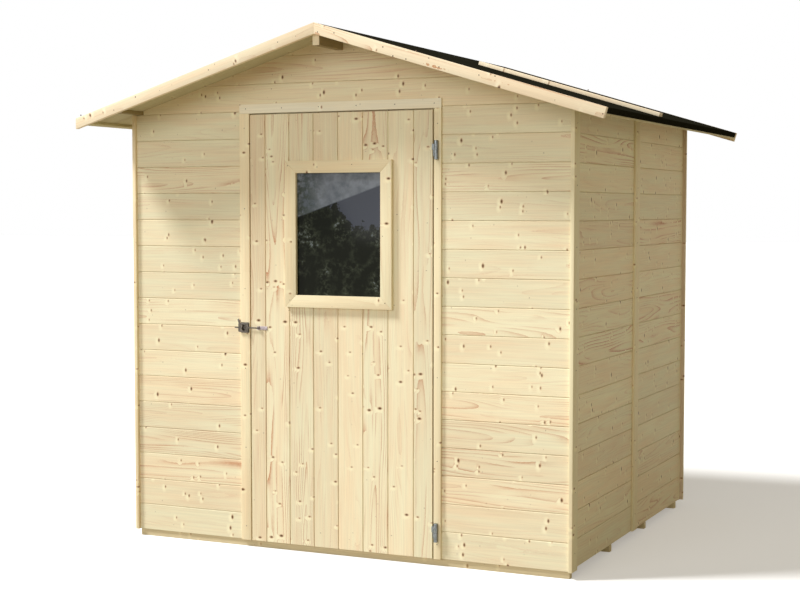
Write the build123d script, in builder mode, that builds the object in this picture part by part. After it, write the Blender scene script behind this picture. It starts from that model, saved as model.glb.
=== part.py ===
"""Wooden garden shed with a felted pitched roof and one ledged door with a window.

Millimetres, +Z up. The origin is on the ground under the middle of the front bearer, below the
door, which faces -Y. The right slope of the roof is a little longer than the left one.
"""

from build123d import *
import os
from math import cos, radians, sin, tan

os.makedirs("parts", exist_ok=True)

# Walls, measured over the cladding boards: sixteen boards high up to the side purlins
wall_width = 1968.0
wall_depth = 1656.0
wall_height = 1800.0
board_thickness = 16.0

# Floor: a deck of boards on bearers that run across the shed
bearer_count = 4
bearer_height = 28.0
bearer_width = 28.0
bearer_setback = 8.0
bearer_rear_setback = 66.0
deck_thickness = 16.0

# Cover battens on the corners, and thinner ones over the joints between wall panels
batten_width = 65.0
batten_thickness = 16.0
corner_batten_lead = 11.5
joint_batten_width = 70.0
joint_batten_thickness = 8.0
panel_joint_shift = 43.0

# Posts on the inner face of the walls
post_width = 44.0
post_depth = 28.0

# Roof, with depths measured square to the slope from its top surface
roof_pitch = 16.9
left_eave_overhang = 149.0
right_eave_overhang = 203.0
verge_overhang = 226.0
felt_thickness = 3.0
felt_drip = 20.0
felt_joint_gap = 1.0
front_roll_width = 848.0
roof_board_thickness = 16.0
eave_batten_width = 25.0
eave_batten_thickness = 12.0
barge_tail = 4.0
barge_width = 43.0
barge_thickness = 20.0
purlin_width = 30.0
purlin_height = 63.0
side_purlin_width = 36.0
side_purlin_edge = 5.2
cover_strip_ridge_gap = 368.0
cover_strip_eave_gap = 38.0
cover_strip_width = 45.0
cover_strip_thickness = 16.0

# Doorway, door leaf and the trim around it
doorway_width = 839.0
doorway_drop = 8.0
door_gap = 6.0
door_ground_gap = 2.0
leaf_thickness = 16.0
left_trim_width = 46.0
right_trim_width = 31.0
gable_lap = 42.0
trim_thickness = 10.0
trim_head_height = 39.0
door_stop_lap = 19.5
ledge_post_gap = 10.0
ledge_height = 90.0
ledge_thickness = 18.0
ledge_low_rise = 120.0
ledge_window_gap = 68.0
ledge_high_drop = 64.0

# Window in the door leaf
window_width = 484.0
window_height = 600.0
window_top_drop = 193.0
window_member_width = 50.0
window_member_thickness = 16.0
glass_lap = 8.0
glass_clearance = 1.0
glass_thickness = 4.0
bead_width = 15.0

# Lift-off hinges on the right of the door
hinge_axis_side = 13.0
hinge_axis_stand_off = 19.0
hinge_low_rise = 107.0
hinge_high_drop = 158.0
knuckle_radius = 8.0
knuckle_length = 37.0
knuckle_gap = 1.0
hinge_pin_radius = 4.0
hinge_pin_length = 30.0
hinge_pin_clearance = 0.05
hinge_leaf_thickness = 2.0
hinge_arm_thickness = 2.5
hinge_arm_height = 24.0

# Hasp on the door and staple on the left trim
hasp_rise = 898.5
hasp_axis_inset = 37.5
hasp_axis_stand_off = 7.5
hasp_knuckle_radius = 4.5
hasp_pin_radius = 1.5
hasp_pin_clearance = 0.05
hasp_knuckle_gap = 0.3
hasp_plate_length = 36.0
hasp_plate_height = 15.0
hasp_plate_thickness = 2.0
hasp_middle_knuckle_height = 6.0
strap_thickness = 2.0
strap_neck_height = 5.4
strap_end_length = 48.0
strap_end_height = 38.0
strap_end_round = 5.0
strap_tongue_length = 17.0
strap_lug_inset = 9.0
strap_lug_length = 26.0
strap_lug_width = 8.0
strap_lug_angle = 112.0
staple_inset = 28.0
slot_width = 13.0
slot_height = 26.0
staple_plate_width = 38.0
staple_plate_height = 44.0
staple_rod_radius = 2.5
staple_loop_height = 16.0
staple_stand_out = 22.0

# Places worked out from the sizes above
half_width = wall_width / 2
inner_half_width = half_width - board_thickness
front_face = -bearer_setback - bearer_width / 2
rear_face = front_face + wall_depth
inner_front = front_face + board_thickness
inner_rear = rear_face - board_thickness
middle = (front_face + rear_face) / 2
side_joint = middle + panel_joint_shift
bearer_pitch = (wall_depth - bearer_setback - bearer_rear_setback - bearer_width) / (bearer_count - 1)
deck_top = bearer_height + deck_thickness
wall_top = bearer_height + wall_height
verge_front = front_face - verge_overhang
verge_rear = rear_face + verge_overhang
roof_front = verge_front + barge_thickness
roof_rear = verge_rear - barge_thickness
roof_depth = roof_rear - roof_front
underside_depth = felt_thickness + roof_board_thickness
pitch = radians(roof_pitch)
roof_rise = half_width * tan(pitch) + underside_depth / cos(pitch)
ridge_height = wall_top + side_purlin_edge + roof_rise
left_slope_length = (half_width + left_eave_overhang) / cos(pitch)
right_slope_length = (half_width + right_eave_overhang) / cos(pitch)
doorway_half = doorway_width / 2
doorway_top = wall_top - doorway_drop
gable_half = doorway_half + gable_lap
trim_face = front_face - trim_thickness
leaf_half_width = doorway_half - door_gap
leaf_bottom = bearer_height + door_ground_gap
leaf_top = doorway_top - door_gap
leaf_face = trim_face
leaf_back = leaf_face + leaf_thickness
post_inner_half = inner_half_width - post_depth
door_post_edge = doorway_half - door_stop_lap


def slope_point(side, run, depth):
    """A point of the roof's section: run down the slope from the ridge, depth below its top."""
    across = run * cos(pitch) - depth * sin(pitch)
    height = ridge_height - run * sin(pitch) - depth * cos(pitch)
    return (side * across, height)


def ridge_point(depth):
    """A point of the roof's section straight below the ridge line."""
    return (0, ridge_height - depth / cos(pitch))


def underside(x):
    """Height of the underside of the roof boards at a distance from the middle."""
    return ridge_height - underside_depth / cos(pitch) - abs(x) * tan(pitch)


purlin_half = purlin_width / 2
purlin_top = underside(purlin_half)
purlin_bottom = purlin_top - purlin_height


def facing(y):
    """A sketch plane across the shed at depth y, whose extrusion runs towards the door side."""
    return Plane.XZ.offset(-y)


def save(piece, name):
    """Name a finished piece and write it to its file."""
    piece.label = name
    export_step(piece, "parts/" + name + ".step")


sides = (("left", -1), ("right", 1))
trims = (("left", -1, left_trim_width), ("right", 1, right_trim_width))
plumb_cut = barge_width * tan(pitch)
slopes = (("left", -1, left_slope_length, plumb_cut), ("right", 1, right_slope_length, 0))

# Floor bearers: softwood strips laid across the shed, flat on the ground
with BuildPart() as floor_bearers:
    for index in range(bearer_count):
        with BuildSketch(Plane.XY):
            with Locations((0, index * bearer_pitch)):
                Rectangle(wall_width, bearer_width)
    extrude(amount=bearer_height)
save(floor_bearers.part, "floor_bearers")

# Floor deck: boards on the bearers, inside the walls
with BuildPart() as floor_deck:
    with BuildSketch(Plane.XY.offset(bearer_height)):
        with Locations((0, middle)):
            Rectangle(2 * inner_half_width, inner_rear - inner_front)
    extrude(amount=deck_thickness)
save(floor_deck.part, "floor_deck")

# Front wall: a panel on each side of the door, notched for the gable and for the side purlin
purlin_inner = half_width - side_purlin_width
for side_name, side in sides:
    with BuildPart() as front_wall:
        with BuildSketch(facing(inner_front)):
            with BuildLine():
                Polyline(
                    (side * doorway_half, bearer_height),
                    (side * half_width, bearer_height),
                    (side * half_width, wall_top),
                    (side * purlin_inner, wall_top),
                    (side * purlin_inner, underside(purlin_inner)),
                    (side * gable_half, underside(gable_half)),
                    (side * gable_half, doorway_top),
                    (side * doorway_half, doorway_top),
                    close=True,
                )
            make_face()
        extrude(amount=board_thickness)
    save(front_wall.part, "front_wall_" + side_name)

# Front gable: the boards over the doorway, notched for the ridge purlin
with BuildPart() as front_gable:
    with BuildSketch(facing(inner_front)):
        with BuildLine():
            Polyline(
                (-gable_half, doorway_top),
                (gable_half, doorway_top),
                (gable_half, underside(gable_half)),
                (purlin_half, purlin_top),
                (purlin_half, purlin_bottom),
                (-purlin_half, purlin_bottom),
                (-purlin_half, purlin_top),
                (-gable_half, underside(gable_half)),
                close=True,
            )
        make_face()
    extrude(amount=board_thickness)
save(front_gable.part, "front_gable")

# Side walls: two panels each, which meet a little behind mid depth
panel_middle_x = half_width - board_thickness / 2
for side_name, side in sides:
    for panel_name, panel_start, panel_end in (("front", side_joint, inner_front), ("rear", inner_rear, side_joint)):
        with BuildPart() as side_wall:
            with BuildSketch(facing(panel_start)):
                with Locations((side * panel_middle_x, (bearer_height + wall_top) / 2)):
                    Rectangle(board_thickness, wall_height)
            extrude(amount=panel_start - panel_end)
        save(side_wall.part, side_name + "_wall_" + panel_name)

# Rear wall: two panels that meet under the ridge purlin
for side_name, side in sides:
    with BuildPart() as rear_wall:
        with BuildSketch(facing(rear_face)):
            with BuildLine():
                Polyline(
                    (0, bearer_height),
                    (side * half_width, bearer_height),
                    (side * half_width, wall_top),
                    (side * purlin_inner, wall_top),
                    (side * purlin_inner, underside(purlin_inner)),
                    (side * purlin_half, purlin_top),
                    (side * purlin_half, purlin_bottom),
                    (0, purlin_bottom),
                    close=True,
                )
            make_face()
        extrude(amount=board_thickness)
    save(rear_wall.part, "rear_wall_" + side_name)

# Front corner battens: nailed to the side walls, standing out past the front boards
batten_outer = half_width + batten_thickness
batten_middle_x = half_width + batten_thickness / 2
batten_middle_z = (bearer_height + wall_top) / 2
with BuildPart() as front_corner_battens:
    with BuildSketch(facing(front_face - corner_batten_lead + batten_width)):
        with Locations((-batten_middle_x, batten_middle_z), (batten_middle_x, batten_middle_z)):
            Rectangle(batten_thickness, wall_height)
    extrude(amount=batten_width)
save(front_corner_battens.part, "front_corner_battens")

# Rear corner battens: nailed to the rear boards, as far out as the front ones
rear_batten_x = batten_outer - batten_width / 2
with BuildPart() as rear_corner_battens:
    with BuildSketch(facing(rear_face + batten_thickness)):
        with Locations((-rear_batten_x, batten_middle_z), (rear_batten_x, batten_middle_z)):
            Rectangle(batten_width, wall_height)
    extrude(amount=batten_thickness)
save(rear_corner_battens.part, "rear_corner_battens")

# Joint battens: over the joint of each side wall, and over that of the rear wall up to the purlin
joint_batten_x = half_width + joint_batten_thickness / 2
with BuildPart() as joint_battens:
    with BuildSketch(facing(side_joint + joint_batten_width / 2)):
        with Locations((-joint_batten_x, batten_middle_z), (joint_batten_x, batten_middle_z)):
            Rectangle(joint_batten_thickness, wall_height)
    extrude(amount=joint_batten_width)
    with BuildSketch(facing(rear_face + joint_batten_thickness)):
        with Locations((0, (bearer_height + purlin_bottom) / 2)):
            Rectangle(joint_batten_width, purlin_bottom - bearer_height)
    extrude(amount=joint_batten_thickness)
save(joint_battens.part, "joint_battens")

# Wall posts: three uprights behind each side wall, at its ends and its joint
post_middle_x = inner_half_width - post_depth / 2
post_ends = (inner_front + post_width, side_joint + post_width / 2, inner_rear)
for side_name, side in sides:
    with BuildPart() as wall_posts:
        for post_end in post_ends:
            with BuildSketch(facing(post_end)):
                with Locations((side * post_middle_x, (deck_top + wall_top) / 2)):
                    Rectangle(post_depth, wall_top - deck_top)
            extrude(amount=post_width)
    save(wall_posts.part, side_name + "_wall_posts")

# Rear post: behind the joint of the rear wall, under the purlin
with BuildPart() as rear_wall_post:
    with BuildSketch(facing(inner_rear)):
        with Locations((0, (deck_top + purlin_bottom) / 2)):
            Rectangle(post_width, purlin_bottom - deck_top)
    extrude(amount=post_depth)
save(rear_wall_post.part, "rear_wall_post")

# Door posts: inside the front wall, lapping into the doorway as the door's stop
post_back = inner_front + post_depth
door_post_outer = door_post_edge + post_width
with BuildPart() as door_posts:
    for side_name, side in sides:
        with BuildSketch(facing(post_back)):
            with BuildLine():
                Polyline(
                    (side * door_post_edge, deck_top),
                    (side * door_post_outer, deck_top),
                    (side * door_post_outer, underside(door_post_outer)),
                    (side * door_post_edge, underside(door_post_edge)),
                    close=True,
                )
            make_face()
    extrude(amount=post_depth)
save(door_posts.part, "door_posts")

# Door header: a rail between the door posts
with BuildPart() as door_header:
    with BuildSketch(facing(post_back)):
        with Locations((0, doorway_top - door_stop_lap + post_width / 2)):
            Rectangle(2 * door_post_edge, post_width)
    extrude(amount=post_depth)
save(door_header.part, "door_header")

# Door trim: planed strips nailed to the front boards around the doorway
for side_name, side, trim_width in trims:
    with BuildPart() as door_trim:
        with BuildSketch(facing(front_face)):
            with Locations((side * (doorway_half + trim_width / 2), (bearer_height + doorway_top) / 2)):
                Rectangle(trim_width, doorway_top - bearer_height)
        extrude(amount=trim_thickness)
    save(door_trim.part, "door_trim_" + side_name)

with BuildPart() as door_trim_head:
    with BuildSketch(facing(front_face)):
        with Locations(((right_trim_width - left_trim_width) / 2, doorway_top + trim_head_height / 2)):
            Rectangle(doorway_width + left_trim_width + right_trim_width, trim_head_height)
    extrude(amount=trim_thickness)
save(door_trim_head.part, "door_trim_head")

# Ridge purlin: one beam through both gables, between the barge boards
with BuildPart() as ridge_purlin:
    with BuildSketch(facing(roof_rear)):
        with Locations((0, (purlin_bottom + purlin_top) / 2)):
            Rectangle(purlin_width, purlin_height)
    extrude(amount=roof_depth)
save(ridge_purlin.part, "ridge_purlin")

# Side purlins: low beams on top of the side walls, bevelled to the slope, as long as the roof
with BuildPart() as side_purlins:
    for side_name, side in sides:
        with BuildSketch(facing(roof_rear)):
            with BuildLine():
                Polyline(
                    (side * purlin_inner, wall_top),
                    (side * half_width, wall_top),
                    (side * half_width, underside(half_width)),
                    (side * purlin_inner, underside(purlin_inner)),
                    close=True,
                )
            make_face()
    extrude(amount=roof_depth)
save(side_purlins.part, "side_purlins")

# Roof boards, cover strip and barge boards of each slope. The left barge boards are cut plumb at the eave
felt_joint = roof_front + front_roll_width
for side_name, side, slope_length, end_cut in slopes:
    with BuildPart() as roof_boards:
        with BuildSketch(facing(roof_rear)):
            with BuildLine():
                Polyline(
                    ridge_point(felt_thickness),
                    slope_point(side, slope_length, felt_thickness),
                    slope_point(side, slope_length, underside_depth),
                    ridge_point(underside_depth),
                    close=True,
                )
            make_face()
        extrude(amount=roof_depth)
    save(roof_boards.part, "roof_boards_" + side_name)

    strip_end = slope_length - cover_strip_eave_gap
    with BuildPart() as cover_strip:
        with BuildSketch(facing(felt_joint + cover_strip_width / 2)):
            with BuildLine():
                Polyline(
                    slope_point(side, cover_strip_ridge_gap, 0),
                    slope_point(side, cover_strip_ridge_gap, -cover_strip_thickness),
                    slope_point(side, strip_end, -cover_strip_thickness),
                    slope_point(side, strip_end, 0),
                    close=True,
                )
            make_face()
        extrude(amount=cover_strip_width)
    save(cover_strip.part, "cover_strip_" + side_name)

    barge_end = slope_length + barge_tail
    for end_name, barge_start in (("front", roof_front), ("rear", verge_rear)):
        with BuildPart() as barge_board:
            with BuildSketch(facing(barge_start)):
                with BuildLine():
                    Polyline(
                        ridge_point(0),
                        slope_point(side, barge_end, 0),
                        slope_point(side, barge_end + end_cut, barge_width),
                        ridge_point(barge_width),
                        close=True,
                    )
                make_face()
            extrude(amount=barge_thickness)
        save(barge_board.part, end_name + "_barge_" + side_name)

# Eave battens: under the lower ends of the roof boards
batten_depth = underside_depth + eave_batten_thickness
with BuildPart() as eave_battens:
    for side_name, side, slope_length, end_cut in slopes:
        with BuildSketch(facing(roof_rear)):
            with BuildLine():
                Polyline(
                    slope_point(side, slope_length - eave_batten_width, underside_depth),
                    slope_point(side, slope_length, underside_depth),
                    slope_point(side, slope_length, batten_depth),
                    slope_point(side, slope_length - eave_batten_width, batten_depth),
                    close=True,
                )
            make_face()
    extrude(amount=roof_depth)
save(eave_battens.part, "eave_battens")

# Roof felt: two rolls laid from eave to eave over the ridge, turned down at the eaves
drip_depth = felt_thickness + felt_drip
rolls = (
    ("front", felt_joint - felt_joint_gap / 2, roof_front),
    ("rear", roof_rear, felt_joint + felt_joint_gap / 2),
)
for end_name, roll_end, roll_start in rolls:
    with BuildPart() as roof_felt:
        with BuildSketch(facing(roll_end)):
            with BuildLine():
                Polyline(
                    ridge_point(0),
                    slope_point(1, right_slope_length + felt_thickness, 0),
                    slope_point(1, right_slope_length + felt_thickness, drip_depth),
                    slope_point(1, right_slope_length, drip_depth),
                    slope_point(1, right_slope_length, felt_thickness),
                    ridge_point(felt_thickness),
                    slope_point(-1, left_slope_length, felt_thickness),
                    slope_point(-1, left_slope_length, drip_depth),
                    slope_point(-1, left_slope_length + felt_thickness, drip_depth),
                    slope_point(-1, left_slope_length + felt_thickness, 0),
                    close=True,
                )
            make_face()
        extrude(amount=roll_end - roll_start)
    save(roof_felt.part, "roof_felt_" + end_name)

# Door leaf: upright boards, flush with the trim, cut out for the window
window_middle = leaf_top - window_top_drop - window_height / 2
sight_width = window_width - 2 * window_member_width
sight_height = window_height - 2 * window_member_width
cut_width = sight_width + 2 * glass_lap
cut_height = sight_height + 2 * glass_lap
with BuildPart() as door_leaf:
    with BuildSketch(facing(leaf_back)):
        with Locations((0, (leaf_bottom + leaf_top) / 2)):
            Rectangle(2 * leaf_half_width, leaf_top - leaf_bottom)
        with Locations((0, window_middle)):
            Rectangle(cut_width, cut_height, mode=Mode.SUBTRACT)
    extrude(amount=leaf_thickness)
save(door_leaf.part, "door_leaf")

# Door ledges: three boards across the back of the leaf
ledge_middles = (
    leaf_bottom + ledge_low_rise + ledge_height / 2,
    window_middle - cut_height / 2 - ledge_window_gap - ledge_height / 2,
    leaf_top - ledge_high_drop - ledge_height / 2,
)
with BuildPart() as door_ledges:
    for ledge_middle in ledge_middles:
        with BuildSketch(facing(leaf_back + ledge_thickness)):
            with Locations((0, ledge_middle)):
                Rectangle(2 * (door_post_edge - ledge_post_gap), ledge_height)
    extrude(amount=ledge_thickness)
save(door_ledges.part, "door_ledges")

# Window frame: mitred strips on the face of the leaf, around the glass
with BuildPart() as window_frame:
    with BuildSketch(facing(leaf_face)):
        with Locations((0, window_middle)):
            Rectangle(window_width, window_height)
            Rectangle(sight_width, sight_height, mode=Mode.SUBTRACT)
    extrude(amount=window_member_thickness)
save(window_frame.part, "window_frame")

# Window glass: one sheet in the leaf, behind the frame
glass_back = leaf_face + glass_thickness
with BuildPart() as window_glass:
    with BuildSketch(facing(glass_back)):
        with Locations((0, window_middle)):
            Rectangle(cut_width - 2 * glass_clearance, cut_height - 2 * glass_clearance)
    extrude(amount=glass_thickness)
save(window_glass.part, "window_glass")

# Window bead: the strips that hold the glass from inside
with BuildPart() as window_bead:
    with BuildSketch(facing(leaf_back)):
        with Locations((0, window_middle)):
            Rectangle(cut_width, cut_height)
            Rectangle(cut_width - 2 * bead_width, cut_height - 2 * bead_width, mode=Mode.SUBTRACT)
    extrude(amount=leaf_thickness - glass_thickness)
save(window_bead.part, "window_bead")

# Hinges: the lower half carries the pin and is fixed to the trim's edge
hinge_axis_x = doorway_half + hinge_axis_side
hinge_axis_y = front_face - hinge_axis_stand_off
hinge_heights = (leaf_bottom + hinge_low_rise, leaf_top - hinge_high_drop)
frame_leaf_left = doorway_half - hinge_leaf_thickness
frame_arm_face = trim_face - hinge_arm_thickness
with BuildPart() as hinge_frame_halves:
    for hinge_height in hinge_heights:
        half_bottom = hinge_height - knuckle_gap / 2 - knuckle_length
        with BuildSketch(Plane.XY.offset(half_bottom)):
            with Locations((hinge_axis_x, hinge_axis_y)):
                Circle(knuckle_radius)
        extrude(amount=knuckle_length)
        with BuildSketch(Plane.XY.offset(half_bottom + knuckle_length - hinge_arm_height)):
            with BuildLine():
                Polyline(
                    (hinge_axis_x, frame_arm_face),
                    (hinge_axis_x, trim_face),
                    (doorway_half, trim_face),
                    (doorway_half, front_face),
                    (frame_leaf_left, front_face),
                    (frame_leaf_left, frame_arm_face),
                    close=True,
                )
            make_face()
        extrude(amount=hinge_arm_height)
        with BuildSketch(Plane.XY.offset(half_bottom + knuckle_length)):
            with Locations((hinge_axis_x, hinge_axis_y)):
                Circle(hinge_pin_radius)
        extrude(amount=hinge_pin_length)
save(hinge_frame_halves.part, "hinge_frame_halves")

# Hinges: the upper half drops over the pin and is fixed to the leaf's edge
door_leaf_right = leaf_half_width + hinge_leaf_thickness
door_arm_back = frame_arm_face - hinge_leaf_thickness / 2
door_arm_face = door_arm_back - hinge_arm_thickness
with BuildPart() as hinge_door_halves:
    for hinge_height in hinge_heights:
        half_bottom = hinge_height + knuckle_gap / 2
        with BuildSketch(Plane.XY.offset(half_bottom)):
            with Locations((hinge_axis_x, hinge_axis_y)):
                Circle(knuckle_radius)
        extrude(amount=knuckle_length)
        with BuildSketch(Plane.XY.offset(half_bottom)):
            with BuildLine():
                Polyline(
                    (hinge_axis_x, door_arm_face),
                    (hinge_axis_x, door_arm_back),
                    (door_leaf_right, door_arm_back),
                    (door_leaf_right, leaf_back),
                    (leaf_half_width, leaf_back),
                    (leaf_half_width, door_arm_face),
                    close=True,
                )
            make_face()
        extrude(amount=hinge_arm_height)
        with BuildSketch(Plane.XY.offset(half_bottom)):
            with Locations((hinge_axis_x, hinge_axis_y)):
                Circle(hinge_pin_radius + hinge_pin_clearance)
        extrude(amount=hinge_pin_length, mode=Mode.SUBTRACT)
save(hinge_door_halves.part, "hinge_door_halves")

# Hasp plate: screwed to the leaf, with two outer knuckles and the pin
hasp_height = leaf_bottom + hasp_rise
hasp_axis_x = -leaf_half_width + hasp_axis_inset
hasp_axis_y = leaf_face - hasp_axis_stand_off
plate_face = leaf_face - hasp_plate_thickness
plate_left = hasp_axis_x + hasp_knuckle_radius
outer_knuckle_height = (hasp_plate_height - hasp_middle_knuckle_height) / 2 - hasp_knuckle_gap
hasp_bottom = hasp_height - hasp_plate_height / 2
hasp_top_knuckle = hasp_height + hasp_plate_height / 2 - outer_knuckle_height
with BuildPart() as hasp_plate:
    with BuildSketch(Plane.XY.offset(hasp_bottom)):
        with BuildLine():
            Polyline(
                (hasp_axis_x, leaf_face),
                (plate_left + hasp_plate_length, leaf_face),
                (plate_left + hasp_plate_length, plate_face),
                (plate_left, plate_face),
                (plate_left, hasp_axis_y),
                (hasp_axis_x, hasp_axis_y),
                close=True,
            )
        make_face()
    extrude(amount=hasp_plate_height)
    with BuildSketch(Plane.XY.offset(hasp_bottom)):
        with Locations((hasp_axis_x, hasp_axis_y)):
            Circle(hasp_knuckle_radius)
    extrude(amount=hasp_plate_height)
    with BuildSketch(Plane.XY.offset(hasp_height - hasp_middle_knuckle_height / 2 - hasp_knuckle_gap)):
        with Locations((hasp_axis_x, hasp_axis_y)):
            Circle(hasp_knuckle_radius + strap_thickness)
            Circle(hasp_pin_radius, mode=Mode.SUBTRACT)
    extrude(amount=hasp_middle_knuckle_height + 2 * hasp_knuckle_gap, mode=Mode.SUBTRACT)
save(hasp_plate.part, "hasp_plate")

# Hasp strap: a narrow neck from the middle knuckle to a slotted end over the staple, with a lug to lift it by
staple_x = -doorway_half - staple_inset
strap_end_left = staple_x - strap_end_length / 2
strap_tip = strap_end_left - strap_tongue_length
strap_back = hasp_axis_y + strap_thickness / 2
lug_z = hasp_height + strap_end_height / 2 - strap_lug_width
with BuildPart() as hasp_strap:
    with BuildSketch(Plane.XY.offset(hasp_height - hasp_middle_knuckle_height / 2)):
        with Locations((hasp_axis_x, hasp_axis_y)):
            Circle(hasp_knuckle_radius)
    extrude(amount=hasp_middle_knuckle_height)
    with BuildSketch(facing(strap_back)):
        with Locations(((hasp_axis_x + strap_tip) / 2, hasp_height)):
            Rectangle(hasp_axis_x - strap_tip, strap_neck_height)
        with Locations((staple_x, hasp_height)):
            RectangleRounded(strap_end_length, strap_end_height, strap_end_round)
        with Locations(Location((strap_end_left + strap_lug_inset, lug_z), strap_lug_angle)):
            Rectangle(strap_lug_length, strap_lug_width, align=(Align.MIN, Align.CENTER))
        with Locations((staple_x, hasp_height)):
            Rectangle(slot_width, slot_height, mode=Mode.SUBTRACT)
    extrude(amount=strap_thickness)
    with BuildSketch(Plane.XY.offset(hasp_bottom)):
        with Locations((hasp_axis_x, hasp_axis_y)):
            Circle(hasp_pin_radius + hasp_pin_clearance)
    extrude(amount=hasp_plate_height, mode=Mode.SUBTRACT)
save(hasp_strap.part, "hasp_strap")

# Hasp staple: a plate on the left trim with a bent rod loop
staple_plate_face = trim_face - hasp_plate_thickness
staple_plate_x = -doorway_half - left_trim_width / 2
loop_half = staple_loop_height / 2
loop_straight_end = staple_plate_face - staple_stand_out + loop_half + staple_rod_radius
with BuildPart() as hasp_staple:
    with BuildSketch(facing(trim_face)):
        with Locations((staple_plate_x, hasp_height)):
            Rectangle(staple_plate_width, staple_plate_height)
    extrude(amount=hasp_plate_thickness)
    with BuildLine() as loop_path:
        Line(
            (staple_x, staple_plate_face, hasp_height - loop_half),
            (staple_x, loop_straight_end, hasp_height - loop_half),
        )
        ThreePointArc(
            (staple_x, loop_straight_end, hasp_height - loop_half),
            (staple_x, loop_straight_end - loop_half, hasp_height),
            (staple_x, loop_straight_end, hasp_height + loop_half),
        )
        Line(
            (staple_x, loop_straight_end, hasp_height + loop_half),
            (staple_x, staple_plate_face, hasp_height + loop_half),
        )
    with BuildSketch(facing(staple_plate_face)):
        with Locations((staple_x, hasp_height - loop_half)):
            Circle(staple_rod_radius)
    sweep(path=loop_path.wire())
save(hasp_staple.part, "hasp_staple")
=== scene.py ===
import math
import random

import bmesh
import bpy
import numpy as np
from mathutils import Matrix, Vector


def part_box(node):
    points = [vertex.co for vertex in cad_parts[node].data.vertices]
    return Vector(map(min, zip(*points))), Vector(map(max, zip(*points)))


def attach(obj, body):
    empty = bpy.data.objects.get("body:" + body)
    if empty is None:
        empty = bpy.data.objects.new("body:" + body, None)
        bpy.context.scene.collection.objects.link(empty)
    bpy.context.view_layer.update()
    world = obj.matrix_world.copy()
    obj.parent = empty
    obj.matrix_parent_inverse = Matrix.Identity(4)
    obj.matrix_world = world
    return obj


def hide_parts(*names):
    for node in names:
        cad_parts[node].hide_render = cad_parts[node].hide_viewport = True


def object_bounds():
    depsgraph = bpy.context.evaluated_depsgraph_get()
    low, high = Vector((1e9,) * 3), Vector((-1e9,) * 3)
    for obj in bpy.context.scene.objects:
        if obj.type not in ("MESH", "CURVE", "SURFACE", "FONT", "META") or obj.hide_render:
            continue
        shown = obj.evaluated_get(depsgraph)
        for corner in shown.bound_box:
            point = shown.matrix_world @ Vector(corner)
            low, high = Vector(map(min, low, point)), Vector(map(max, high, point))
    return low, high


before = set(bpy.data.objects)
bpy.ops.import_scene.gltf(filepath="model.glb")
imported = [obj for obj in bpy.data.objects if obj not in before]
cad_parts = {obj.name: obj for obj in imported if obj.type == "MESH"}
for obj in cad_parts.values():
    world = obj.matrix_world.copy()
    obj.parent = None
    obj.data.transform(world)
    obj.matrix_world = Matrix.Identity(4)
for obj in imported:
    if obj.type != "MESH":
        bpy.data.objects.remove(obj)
cad_box = [list(corner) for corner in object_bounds()]
MM = 0.001


# Floor bearers
# Four strips of pressure-treated pine that the shed stands on. They lie across it, sawn square,
# with their ends just inside the corner battens.

right, up = (1, 0, 0), (0, 0, 1)
weld = 0.01 * MM              # corners nearer than this are one corner
wave_ring = 0.314             # a wave texture of scale 1 draws its rings this far apart, in metres


def srgb(code):
    """A linear colour from an sRGB hex code."""
    shares = [int(code[i:i + 2], 16) / 255 for i in (1, 3, 5)]
    return [c / 12.92 if c <= 0.04045 else ((c + 0.055) / 1.055) ** 2.4 for c in shares] + [1.0]


def add(tree, kind, feeds=None, **settings):
    """Adds a node. settings are its attributes, and feeds its inputs: values, or sockets to link."""
    node = tree.nodes.new(kind)
    for key, value in settings.items():
        setattr(node, key, value)
    for key, value in (feeds or {}).items():
        if isinstance(value, bpy.types.NodeSocket):
            tree.links.new(value, node.inputs[key])
        else:
            node.inputs[key].default_value = value
    return node


def new_material(name):
    """A new material, its node tree and its shader."""
    material = bpy.data.materials.new(name)
    material.use_nodes = True
    return material, material.node_tree, material.node_tree.nodes["Principled BSDF"]


def placed(name, data):
    """A new object in the scene, at the origin."""
    thing = bpy.data.objects.new(name, data)
    bpy.context.scene.collection.objects.link(thing)
    return thing


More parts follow.
